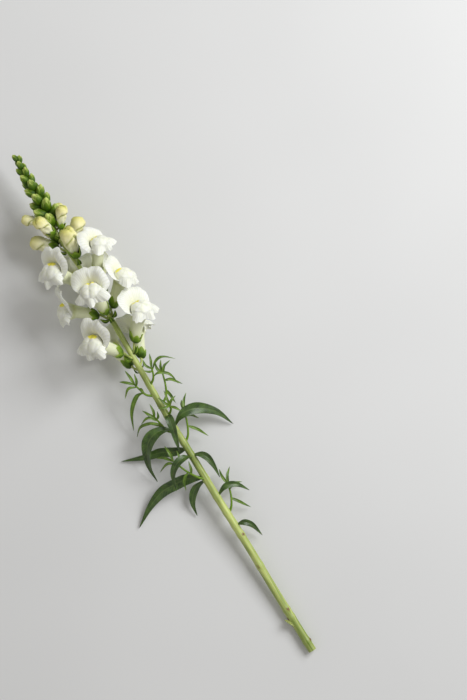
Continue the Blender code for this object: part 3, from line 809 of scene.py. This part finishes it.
        # the lower lip: rolls out of the palate and hangs back round it in three lobes
        degrees = values["skirtCorner"] * across
        side = lobes[degrees > 0] * exp(-((abs(degrees) - 60) / 23) ** 2)
        middle = lobes[2] * exp(-((degrees - swing) / 16) ** 2)
        reach = values["skirtReach"] + values["sideLobe"] * side + values["middleLobe"] * middle
        reach += 0.55 * sin(radians(17 * degrees) + phases[4]) * sin(radians(7 * degrees))
        turn = radians(degrees)
        waves = wavesOf(degrees, along, phases[2], values["lowerFrill"], 21, 0.6)
        out = 4 + (reach - 4) * along ** 0.6
        out += 0.55 * wavesOf(degrees, along, phases[5], values["lowerFrill"], 21, 0.5)
        z = values["skirtStart"] + 2.4 * along - 9.2 * along * along + 1.3 * along ** 6
        point = Vector((out * sin(turn), -1.2 - out * cos(turn), z + 0.8 * waves))
        return settled(point), 0.6 + 0.4 * along, 0

    shell = startShape()
    addGrid(shell, values["upperColumns"], tubeRows + lipRows, upper)
    addGrid(shell, values["lowerColumns"], tubeRows, lower)
    lip = startShape()
    addGrid(lip, values["skirtColumns"], values["skirtRows"], skirt)
    return [walled(shell, wall), roundMesh(52, 40, palate, 0.16), walled(lip, wall)]


def makeFlorets():
    for number, row in enumerate(floretRows, 1):
        meshes = floretMeshes(flowerFrame(row), 40 + number)
        finishPiece(f"whiteFloret{number}", meshes, "petal", [f"floret_{number}"], 70)


makeFlorets()
print("florets made")


# Half-open buds

openingValues = {
    "tube": ((0.6, 2.3, 2.3, 0), (3.2, 4.1, 4, 0), (8, 5.4, 5.3, 0),
             (13, 6.4, 6.2, 0), (18, 6.8, 6.6, 0), (22.5, 6.4, 6.1, -0.2),
             (25, 4.9, 4.5, -0.7), (26, 0, 0, -1.2)),
    "foot": 0.5,            # forward place of the bud's foot
    "mouthCorner": 12,      # where the edge of the folded hood starts at the bud's sides
    "hoodFront": 17.2,      # and where it crosses the front
    "hoodStep": 0.55,       # how far the hood stands off the bud
    "pocket": 0.8,          # depth of the hollow under its edge
}


def openingMeshes(matrix, seed):
    chance = Random(seed)
    phase = chance.uniform(0, 2 * pi)
    slip = chance.uniform(-1.2, 1)
    values = openingValues
    foot, tip = values["foot"], values["tube"][-1][0]

    def body(turn, rise):
        z = foot + (tip - foot) * (0.5 - 0.5 * cos(pi * rise))
        wide, high, centre = betweenRows(values["tube"], z)
        if rise < 0.06:
            wide, high = wide * rise / 0.06, high * rise / 0.06
        side, front = cos(turn), -sin(turn)
        facing = eased((front + 0.45) / 0.7)
        edge = values["mouthCorner"] + (values["hoodFront"] - values["mouthCorner"]) * max(
            0, front) ** 0.8
        # two lobes meet in a notch at the front
        edge += slip + 1.3 * exp(-((side - 0.1 * slip) / 0.2) ** 2) * max(0, front)
        edge += 0.35 * sin(4 * turn + phase)
        cover = eased((z - edge) / 0.9 + 0.5)
        ending = min(1, (tip - z) / 6)
        # under the hood the lips are folded lengthwise
        pleat = 0.07 * (1 - cover) * sin(pi * rise) * cos(5 * turn + 1.2 * sin(phase + z / 4))
        pleat += 0.05 * cover * exp(-(side / 0.13) ** 2) * max(0, front)
        pocket = exp(-((z - edge + 1.5) / 1.5) ** 2) * facing
        step = values["hoodStep"] * cover * facing * ending - values["pocket"] * pocket
        step += 0.25 * sin(3 * turn + 0.5 * z + phase) * sin(pi * rise)
        # the hood's edge stands out as a blunt beak
        step += 0.9 * exp(-((z - edge - 2.2) / 2.4) ** 2) * max(0, front) ** 3
        # the seam of the two folded lobes runs on over the blunt end
        across = (wide * side) / 1.1
        seam = eased((z - 21.5) / 3) * exp(-(across + 0.25 * sin(phase + 4 * front)) ** 2)
        step -= 0.35 * seam
        x = (wide * (1 - pleat) + step) * side
        y = centre + (high * (1 - pleat) + step) * sin(turn)
        z -= 0.7 * seam
        # painted shadow in the crease under the hood's edge; the foot, the back of the hood and
        # the seam are made greener
        creaseShade = exp(-((z - edge + 0.9) / 1.1) ** 2) * facing
        green = 0.85 * creaseShade + max(0, 0.45 - 1.9 * rise)
        green += 0.5 * eased((0.2 - front) / 0.9) * eased((rise - 0.45) / 0.4) + 0.45 * seam
        return matrix @ Vector((x, y, z)), rise, green

    return [roundMesh(64, 84, body, 0.4)]


def makeOpeningBuds():
    for number, row in enumerate(openingRows, 1):
        meshes = openingMeshes(flowerFrame(row), 70 + number)
        finishPiece(f"creamBud{number}", meshes, "bud", [f"opening_bud_{number}"], 70)


makeOpeningBuds()
print("half-open buds made")


# Flower stalks, calyces and bracts

calyxValues = {
    # a sepal's middle line: share of its length, radius from the tube's axis, forward
    "line": ((0, 1.2, -3.2), (0.2, 3.4, -1.8), (0.45, 4.75, 0.4), (0.75, 5.1, 3.4),
             (1, 5.3, 6.8)),
    "halfAngle": 41,
    "wall": 0.5,
    "stalkRadii": (1.5, 1.15, 1, 1, 1, 1, 1.1, 1.3, 1.7),
    "bractWidth": 4.2,
    "bractRoll": 45,        # how far a bract at the stem's side is turned to lie flat
}


def sepalMeshes(matrix, size, seed):
    chance = Random(seed)
    meshes = []
    for fifth in range(5):
        middle = pi / 2 + fifth * 2 * pi / 5 + chance.uniform(-0.05, 0.05)
        longer = chance.uniform(0.94, 1.08)
        opened = chance.uniform(-0.2, 0.5)
        lap = 0.12 * (fifth % 2)

        def place(across, along):
            radius, forward = betweenRows(calyxValues["line"], along)
            forward = -3.4 + (forward + 3.4) * longer
            narrow = 1 - max(0, (along - 0.5) / 0.5) ** 2.4
            angle = middle + radians(calyxValues["halfAngle"]) * across * narrow
            radius += lap + opened * along ** 3 + 0.25 * along * (1 - across * across)
            u, v = radius * cos(angle), radius * sin(angle)
            point = matrix @ Vector((u, v, forward + 0.35 * v))
            return point, along, 0.5 * abs(across) ** 4 * along + 0.35 * along ** 5

        bm = startShape()
        addGrid(bm, 10, 14, place)
        meshes.append(walled(bm, calyxValues["wall"] * size))
    return meshes


def stalkMesh(row, matrix):
    s, angle = row[0], row[1]
    point, along, _, _ = stemAt(s)
    away = outward(s, angle)
    skin = stemRadius(s)
    seat = matrix @ Vector((0, 0, -2.6))
    bend = matrix @ Vector((0, 0, -5.4))
    start = point + away * (skin - 1)
    knee = point + away * (skin + 0.8) + along * 1.6
    line = smoothPath((start, knee, bend, seat), 8)
    return rodMesh(line, calyxValues["stalkRadii"], 3)


def bractMesh(row):
    s, angle = row[0], row[1]
    point, along, _, _ = stemAt(s)
    away = outward(s, angle)
    skin = stemRadius(s)
    foot = point + away * (skin - 0.6) - along * 1.2
    belly = point + away * (skin + 0.45 * row[4])
    tip = point + away * (skin + 0.85 * row[4]) + along * (0.4 * row[3])
    across = along.cross(away).normalized()
    roll = calyxValues["bractRoll"] * sin(radians(angle))
    return bladeMesh((foot, belly, tip), calyxValues["bractWidth"], 0.5, 8, 14, roll=roll,
                     side=across)


def makeCalyces():
    sepals, stalks, bracts = [], [], []
    for number, row in enumerate(floretRows + openingRows):
        matrix = flowerFrame(row)
        sepals += sepalMeshes(matrix, row[6], 100 + number)
        stalks.append(stalkMesh(row, matrix))
        bracts.append(bractMesh(row))
    finishPiece("calyces", sepals, "calyx", ["stem"])
    finishPiece("flowerStalks", stalks, "stem", ["stem"])
    finishPiece("bracts", bracts, "calyx", ["stem"])


makeCalyces()
print("calyces made")


# Closed green buds of the tip

spikeValues = {
    "count": 25,
    "start": 449,
    "end": 515,
    "long": 17,             # length of the lowest bud
    "short": 7.5,           # length of the topmost bud
    "girth": 0.29,          # half its width, as a share of its length
    "pitch": (50, 18),      # how far the lowest and the topmost bud lean from the stem
    "goldenAngle": 137.508,
    "sepalWall": 0.35,
}


def greenBudMeshes(index):
    values = spikeValues
    chance = Random(300 + index)
    share = index / (values["count"] - 1)
    s = values["start"] + (values["end"] - values["start"]) * share
    length = values["long"] + (values["short"] - values["long"]) * share
    width = values["girth"] * length
    low, high = values["pitch"]
    point, along, _, _ = stemAt(s)
    away = outward(s, index * values["goldenAngle"])
    turnTo = leaning(along, away, radians(low + (high - low) * share))
    matrix = Matrix.Translation(point + away * (0.6 * stemRadius(s))) @ turnTo.to_4x4()

    def girth(rise):
        # slim foot, full belly, blunt point
        return width * (sin(pi * min(1, rise ** 0.82 * 0.96 + 0.02))) ** 0.75

    def body(turn, rise):
        radius = 0.9 * girth(rise)
        z = -0.4 + (length + 0.4) * rise
        return matrix @ Vector((radius * cos(turn), radius * sin(turn), z)), rise, 0.7 * rise ** 4

    meshes = [roundMesh(14, 12, body)]
    for fifth in range(5):
        middle = pi / 2 + fifth * 2 * pi / 5
        reach = chance.uniform(0.8, 0.93)
        lap = 0.03 * (fifth % 2)

        def place(across, up):
            rise = 0.06 + up * (reach - 0.06)
            narrow = 1 - max(0, (up - 0.45) / 0.55) ** 2.2
            angle = middle + radians(43) * across * narrow
            radius = girth(rise) * (0.93 + lap + 0.12 * (1 - across * across)) + 0.35 * up ** 4
            z = -0.4 + (length + 0.4) * rise
            spot = Vector((radius * cos(angle), radius * sin(angle), z))
            return matrix @ spot, up ** 2, 0.62 * abs(across) ** 4 * up + 0.5 * up ** 6

        bm = startShape()
        addGrid(bm, 8, 10, place)
        meshes.append(walled(bm, values["sepalWall"]))
    return meshes


def makeSpike():
    meshes = []
    for index in range(spikeValues["count"]):
        meshes += greenBudMeshes(index)
    finishPiece("greenBuds", meshes, "greenBud", ["stem"])


makeSpike()
print("green buds made")


# Leaves of the main stem

leafValues = {
    "wall": 0.6,
    "wave": 0.12,           # height of the waved edge, as a share of the half width
}
# place along the stem, angle round it, width, roll, then the midrib's points
leafRows = {
    "leaf_1": (187, 72, 11.5, -12, (192, 15.5, 15.2), (193.5, 28.5, 13), (193.5, 43, 9.5),
               (187.5, 59, 5), (175.5, 78, 1.8)),
    "leaf_2": (236.5, 62, 12, 20, (241, 13, 25), (241.5, 23, 26), (235, 33, 22), (220, 40.5, 13),
               (203, 42, 4)),
    "leaf_3": (250.5, 8, 7.4, 10, (248, 2.2, 28.4), (240, 3.6, 29.6), (229, 6.5, 28),
               (216.5, 10, 25.5)),
    "leaf_4": (207, 28, 7.4, 15, (210, 8.5, 26.5), (208.5, 18, 28.5), (201.5, 26, 25.5),
               (187.5, 30.5, 19)),
    "leaf_5": (208, -62, 6.4, 0, (205, -5.5, 22.2), (199, -9, 23), (190, -10, 20.5),
               (178, -9, 16.5)),
    "leaf_6": (183, 112, 7, 0, (182, 13, 11.5), (177, 20, 8.5), (169, 25, 5.5), (158, 27, 2)),
    "leaf_7": (216, 118, 8.6, 0, (219, 14.5, 12.5), (225, 27, 8.5), (228, 40, 5), (236, 61, 1.6)),
    "leaf_8": (134, -66, 5.6, 0, (132, -7.5, 15), (125, -12.5, 12.5), (113, -15, 7)),
    "leaf_9": (165.5, -62, 6, 0, (169, -9, 18), (165, -19, 15.5), (154, -26, 8)),
    "leaf_10": (240, -70, 10.5, -10, (245, -10, 22.5), (242, -24, 19), (230, -37, 10),
                (213, -44, 2)),
}


def rootOf(s, angle):
    # just under the stem's skin, where a leaf or shoot begins
    return stemAt(s)[0] + outward(s, angle) * (stemRadius(s) - 0.4)


def makeLeaves():
    for number, (node, (s, angle, width, roll, *points)) in enumerate(leafRows.items(), 1):
        mesh = bladeMesh((rootOf(s, angle), *points), width, leafValues["wall"], 14, 56,
                         roll=roll, wave=leafValues["wave"], seed=number)
        finishPiece(f"stemLeaf{number}", [mesh], "leaf", [node])


makeLeaves()
print("leaves made")


# Leafy side shoots

shootValues = {
    "rings": 18,
    "thick": 1.15,          # stalk's radius at the stem
    "thin": 0.75,           # and at its tip
    "leafWidth": 0.8,       # every leaf of the table is this much narrower
    "wall": 0.45,
    "wave": 0.16,
}
# place along the stem, angle round it, the stalk's further points, then each small leaf's
# width and points
shootRows = {
    "side_shoot_1": (
        282.5, -52, ((285, -3.4, 29.2), (289, -5.8, 31.2), (294.5, -7.4, 32.6)),
        (3.2, (292, -6.6, 32), (297.6, -13.5, 34.6), (298, -21, 34), (290.5, -30, 27)),
        (3.5, (286.5, -4.4, 30), (287.5, -10.5, 32), (281, -18.5, 29.5), (269.5, -20.5, 22)),
        (2.8, (293.5, -7, 32.4), (299, -4, 34.8), (305, -4.4, 33.8)),
        (2.6, (291.5, -6.4, 31.8), (292.5, -3.5, 35.4), (296, 0.2, 37.4)),
        (2.8, (294, -7.2, 32.4), (300.5, -10.2, 33.4), (306.5, -12.2, 31.5)),
    ),
    "side_shoot_2": (
        272.5, 78, ((276, 9.4, 25.4), (282, 11.6, 27.2), (291, 14, 29)),
        (5, (279, 10.4, 26.2), (279, 18, 27), (269, 29, 19), (253.5, 36.8, 7)),
        (3.2, (286.5, 12.8, 28.2), (288.8, 20.5, 29.6), (282.5, 27.8, 25)),
        (3, (287, 13, 28.4), (291.5, 10.2, 31.4), (298, 8.6, 32.4)),
        (3.4, (289.5, 13.6, 28.8), (297, 13.6, 31), (304.5, 14.6, 28.6)),
        (2.8, (284, 12.2, 27.8), (282, 10.4, 31), (277.5, 9.8, 33)),
        (3, (289, 13.5, 28.6), (295, 19.5, 29.6), (298.5, 24.5, 25)),
    ),
    "side_shoot_3": (
        250, -48, ((253.5, -3, 26.2), (256.5, -3.6, 28.4), (258, -3.8, 30)),
        (3, (256.5, -3.6, 28.6), (262, -1, 31.6), (268.5, 1.4, 31.8)),
        (3, (256.5, -3.6, 28.6), (260.5, -7.6, 31), (262, -13, 29)),
        (2.8, (257, -3.7, 29.2), (257.5, 0.8, 32.8), (260, 6.5, 33.2)),
        (3, (256.5, -3.6, 28.8), (252.5, -7.5, 31.8), (247, -10.5, 30.5)),
        (2.8, (256.8, -3.7, 29.2), (264.5, -5.2, 31), (271.5, -6.4, 30)),
    ),
    "side_shoot_4": (
        234.5, 96, ((238.5, 10, 19.4), (246, 11.6, 21.6), (256, 13.6, 24.4)),
        (3.3, (253.5, 13.2, 23.8), (259.5, 16.5, 26), (266, 20, 23.6)),
        (3.2, (251, 12.8, 23), (257.5, 19, 25.4), (255.5, 27.5, 21)),
        (3.6, (247, 12, 21.8), (252.5, 20.5, 22.5), (253.5, 29.5, 16), (247.5, 37, 6)),
        (3, (254.5, 13.4, 24), (260.5, 11.4, 27), (267.5, 11, 26)),
        (3, (243.5, 11, 20.8), (247.5, 14.8, 17), (251, 20.5, 10)),
        (2.8, (252, 13, 23.4), (254, 10, 27.4), (258.5, 8.4, 29.4)),
    ),
    "side_shoot_5": (
        184.5, 40, ((190, 8.8, 20.4), (200, 14.5, 21.6), (215, 20, 22.6)),
        (3.2, (212.5, 19.2, 22.6), (220.5, 18.6, 24.6), (228.5, 19, 22)),
        (3.2, (207.5, 17.4, 22.2), (213, 25, 23), (209.5, 35.5, 14)),
        (3, (206, 17, 22.2), (212, 13, 23.5), (219.5, 11.8, 23.8)),
        (3.4, (197, 13.2, 21.4), (193, 19.5, 20.5), (183.5, 23.5, 15)),
        (3.2, (212, 19.2, 22.4), (219, 25, 20.5), (222.5, 32, 14)),
        (3, (194, 11.2, 21), (199, 9, 23.4), (205.5, 7.6, 23)),
    ),
    "side_shoot_6": (
        262, -100, ((266.5, -5.6, 21), (275, -10, 21.8), (286, -13.4, 22.6)),
        (3.2, (283.5, -12.6, 22.4), (290, -17.5, 23.5), (292, -25, 19)),
        (3.4, (279, -11.4, 22), (276.5, -17, 19.5), (267.5, -23.5, 10)),
        (3.2, (284.5, -13, 22.5), (291.5, -11, 23.6), (298.5, -12.6, 21)),
        (3.4, (271, -8.2, 21.4), (264, -9, 16), (256, -9, 8)),
        (3, (283, -12.6, 22.4), (291, -14.4, 20), (297, -18, 14)),
    ),
    "side_shoot_7": (
        222, -96, ((226.5, -4.6, 18.6), (236, -9.2, 18.4), (249, -13, 18.6)),
        (3.2, (246, -12.2, 18.5), (253.5, -16, 16.5), (259.5, -22, 10)),
        (3.4, (233, -8, 18.4), (226, -14, 16.5), (215, -19.5, 9)),
        (3.2, (241.5, -11, 18.4), (240, -15.5, 12), (233.5, -20, 5)),
        (3, (246.5, -12.4, 18.5), (252, -13, 13.5), (256, -15, 7)),
    ),
    "side_shoot_8": (
        147, -92, ((151.5, -5.2, 13.4), (160, -9.6, 13.2), (171, -12.6, 13.6)),
        (3.3, (168.5, -12, 13.5), (176, -15.5, 14), (182, -21.5, 9)),
        (3.4, (157, -8.2, 13.2), (150, -13, 11), (140, -19, 4)),
        (3.3, (169, -12.1, 13.5), (177.5, -11, 12.5), (185, -12, 8)),
        (3.2, (164.5, -11, 13.2), (167, -17, 9.5), (164, -24, 3)),
    ),
}


def makeShoots():
    rings, thick, thin = [shootValues[name] for name in ("rings", "thick", "thin")]
    radii = [thick + (thin - thick) * k / rings for k in range(rings + 1)]
    for number, (node, (s, angle, points, *leaves)) in enumerate(shootRows.items(), 1):
        stalk = rodMesh(smoothPath((rootOf(s, angle), *points), rings), radii, 3)
        finishPiece(f"shootStalk{number}", [stalk], "shoot", [node])
        blades = []
        for k, (width, *path) in enumerate(leaves):
            blades.append(bladeMesh(path, shootValues["leafWidth"] * width,
                                    shootValues["wall"], 8, 30, foot=0.4,
                                    wave=shootValues["wave"], seed=10 * number + k))
        finishPiece(f"shootLeaves{number}", blades, "tenderLeaf", [node])


makeShoots()
bpy.data.collections.remove(workCollection)
print("side shoots made")


# Table, light and camera

setValues = {
    "tableSize": 6,
    "tableDrop": 0.0002,    # just clear of the petals that lie on it
    "tableShades": (rgb(213, 213, 212), rgb(221, 221, 220)),
    "roomColour": (1, 0.98, 0.955, 1),
    "roomStrength": 0.372,
    # light: place right, up and above the middle of the picture, energy, size, colour
    "lights": {
        "windowLight": ((1, 0.75, 1.15), 26.8, 0.9, (0.965, 0.98, 1)),
        "bounceLight": ((-1.2, -0.6, 1.2), 1.6, 1.4, (1, 0.97, 0.92)),
    },
    "distance": 2.4,        # camera above the table
    "flowerHeight": 0.02,   # height over the table where the scale holds
    "pixel": 0.0009,        # metres at that height to a pixel of the picture
    "pictureSize": (467, 700),
    "cutPixel": (313, 652.5),
    "towardsTip": (-0.514, -0.858),     # the stem's direction, right and down the picture
}


def pictureAxes():
    # directions of the picture's right and up edges on the table
    across, down = setValues["towardsTip"]
    right = Vector((across, -(1 - across * across) ** 0.5, 0))
    top = Vector((-down, across, 0)).normalized()
    return right.normalized(), top


def middleOfPicture():
    right, top = pictureAxes()
    wide, high = setValues["pictureSize"]
    u, v = setValues["cutPixel"]
    cut = -frameOrigin * mm
    return cut + (right * (0.5 * wide - u) + top * (v - 0.5 * high)) * setValues["pixel"]


def paintTable(tree):
    dark, light = setValues["tableShades"]
    body = stopsRamp(tree, fineNoise(tree, 3, 2), ((0.2, dark), (0.8, light)))
    return body, fineNoise(tree, 700)


def makeTable():
    bm = bmesh.new()
    bmesh.ops.create_grid(bm, x_segments=1, y_segments=1, size=0.5 * setValues["tableSize"])
    bmesh.ops.translate(bm, verts=bm.verts, vec=(0, 0, -setValues["tableDrop"]))
    table = bpy.data.objects.new("table", asMesh(bm))
    table.data.materials.append(makeMaterial("matTable", paintTable, 0.05, 0.0003,
                                             {"Roughness": 0.9}))
    scene.collection.objects.link(table)


def makeCamera():
    lens = bpy.data.cameras.new("camera")
    lens.sensor_width = 36
    seen = setValues["pictureSize"][1] * setValues["pixel"]
    lens.lens = lens.sensor_width * (setValues["distance"] - setValues["flowerHeight"]) / seen
    camera = bpy.data.objects.new("camera", lens)
    turnTo = Matrix((*pictureAxes(), upward)).transposed().to_4x4()
    lift = Matrix.Translation(middleOfPicture() + upward * setValues["distance"])
    camera.matrix_world = lift @ turnTo
    scene.collection.objects.link(camera)
    scene.camera = camera


def makeLights():
    right, top = pictureAxes()
    middle = middleOfPicture()
    for name, (place, energy, size, colour) in setValues["lights"].items():
        lamp = bpy.data.lights.new(name, "AREA")
        lamp.energy = energy
        lamp.size = size
        lamp.color = colour
        light = bpy.data.objects.new(name, lamp)
        light.location = middle + right * place[0] + top * place[1] + upward * place[2]
        aim = middle - light.location
        light.rotation_euler = aim.to_track_quat("-Z", "Y").to_euler()
        scene.collection.objects.link(light)


def makeRoom():
    world = bpy.data.worlds.new("softRoom")
    scene.world = world
    world.use_nodes = True
    sky = world.node_tree.nodes["Background"]
    sky.inputs["Color"].default_value = setValues["roomColour"]
    sky.inputs["Strength"].default_value = setValues["roomStrength"]


makeTable()
makeCamera()
makeLights()
makeRoom()
scene.view_settings.view_transform = "Standard"
print("table, lights and camera made")
